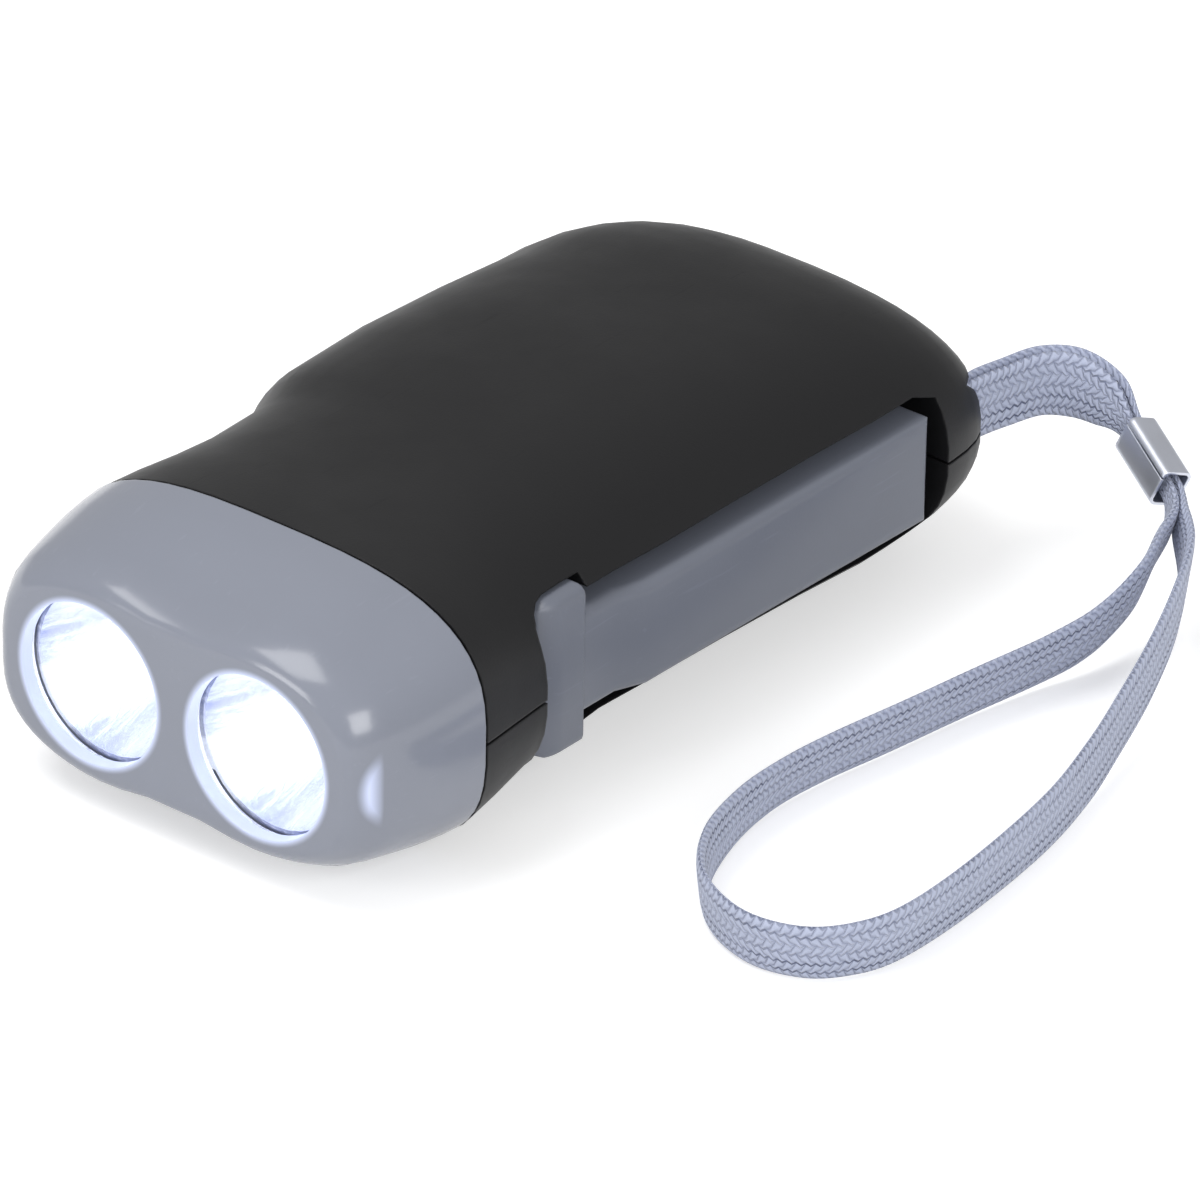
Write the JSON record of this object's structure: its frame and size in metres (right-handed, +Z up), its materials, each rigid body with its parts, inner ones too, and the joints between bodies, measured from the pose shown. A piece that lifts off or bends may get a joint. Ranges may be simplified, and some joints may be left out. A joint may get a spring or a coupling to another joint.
{
  "type": "flashlight",
  "caption": "Squeeze dynamo flashlight: grey head with paired lamps, black shells, a hinged lever that drives a gear train and generator, and a braided wrist strap",
  "frame": {"origin": "on the resting plane, under the middle of the torch without its strap", "axes": "+Z up out of the upper shell, +Y from the lenses to the tail, +X towards the squeeze lever"},
  "size_m": [0.0949, 0.1086, 0.0287],
  "materials": {
    "black_shell": "satin black injection moulded plastic with a fine texture",
    "grey_plastic": "glossy bluish grey moulded plastic",
    "lever_grey": "satin grey moulded plastic",
    "clear_lens": "clear bluish moulded lens",
    "reflector_chrome": "vacuum metallised reflector",
    "led_epoxy": "clear water white epoxy",
    "board_green": "green coated circuit board",
    "gear_white": "natural white acetal",
    "gear_amber": "amber nylon",
    "pin_steel": "drawn steel",
    "magnet": "sintered ferrite",
    "core_iron": "stacked iron sheets",
    "coil_copper": "enamelled copper wire",
    "capacitor_blue": "aluminium can in a dark blue sleeve",
    "black_epoxy": "black moulded epoxy",
    "wire_red": "red insulated wire",
    "wire_black": "black insulated wire",
    "tin_plate": "plated steel strip",
    "strap_grey": "flat braided cord with zigzag lines"
  },
  "bodies": {
    "housing": {"upper_shell": "black_shell", "lower_shell": "black_shell", "head_cap": "grey_plastic", "lens_left": "clear_lens", "lens_right": "clear_lens", "reflector": "reflector_chrome", "led_left": "led_epoxy", "led_right": "led_epoxy", "led_board": "board_green", "circuit_board": "board_green", "hinge_pin": "pin_steel", "return_spring": "pin_steel", "drive_axle": "pin_steel", "idler_axle": "pin_steel", "rotor_axle": "pin_steel", "stator_core": "core_iron", "coil_bobbin": "gear_white", "coil": "coil_copper", "capacitor": "capacitor_blue", "rectifier_diode_1": "black_epoxy", "rectifier_diode_2": "black_epoxy", "rectifier_diode_3": "black_epoxy", "rectifier_diode_4": "black_epoxy", "lamp_wire_1": "wire_red", "lamp_wire_2": "wire_black", "coil_wire_1": "wire_red", "coil_wire_2": "wire_red", "housing_screw_1": "pin_steel", "housing_screw_2": "pin_steel", "housing_screw_3": "pin_steel", "housing_screw_4": "pin_steel", "strap_bar": "tin_plate", "strap_ferrule": "tin_plate", "wrist_strap": "strap_grey"},
    "lever": {"lever": "lever_grey"},
    "drive_pinion": {"drive_pinion": "gear_amber"},
    "step_gear_1": {"step_gear_1": "gear_white"},
    "step_gear_2": {"step_gear_2": "gear_white"},
    "rotor": {"rotor_pinion": "gear_white", "ring_magnet": "magnet", "flywheel": "pin_steel"}
  },
  "joints": [
    {"name": "lever_hinge", "type": "hinge", "parent": "housing", "child": "lever", "pos_m": [0.01995, -0.01905, 0.0142], "axis": [0, 0, -1], "range_deg": [0, 18]},
    {"name": "drive_pinion_spin", "type": "hinge", "parent": "housing", "child": "drive_pinion", "pos_m": [0.00589, 0.01959, 0.0142], "axis": [0, 0, 1], "range_deg": [0, 130]},
    {"name": "rotor_spin", "type": "hinge", "parent": "housing", "child": "rotor", "pos_m": [-0.01093, 0.01347, 0.0142], "axis": [0, 0, 1], "continuous": true},
    {"name": "step_gear_2_spin", "type": "hinge", "parent": "housing", "child": "step_gear_2", "pos_m": [-0.00617, 0.02655, 0.0142], "axis": [0, 0, 1], "continuous": true},
    {"name": "step_gear_1_spin", "type": "hinge", "parent": "housing", "child": "step_gear_1", "pos_m": [0.00589, 0.01959, 0.0142], "axis": [0, 0, 1], "continuous": true}
  ],
  "couplings": [
    {"joint": "drive_pinion_spin", "follows": "lever_hinge", "ratio": 7.2},
    {"joint": "step_gear_2_spin", "follows": "rotor_spin", "ratio": -0.27778},
    {"joint": "step_gear_1_spin", "follows": "rotor_spin", "ratio": 0.07716}
  ]
}
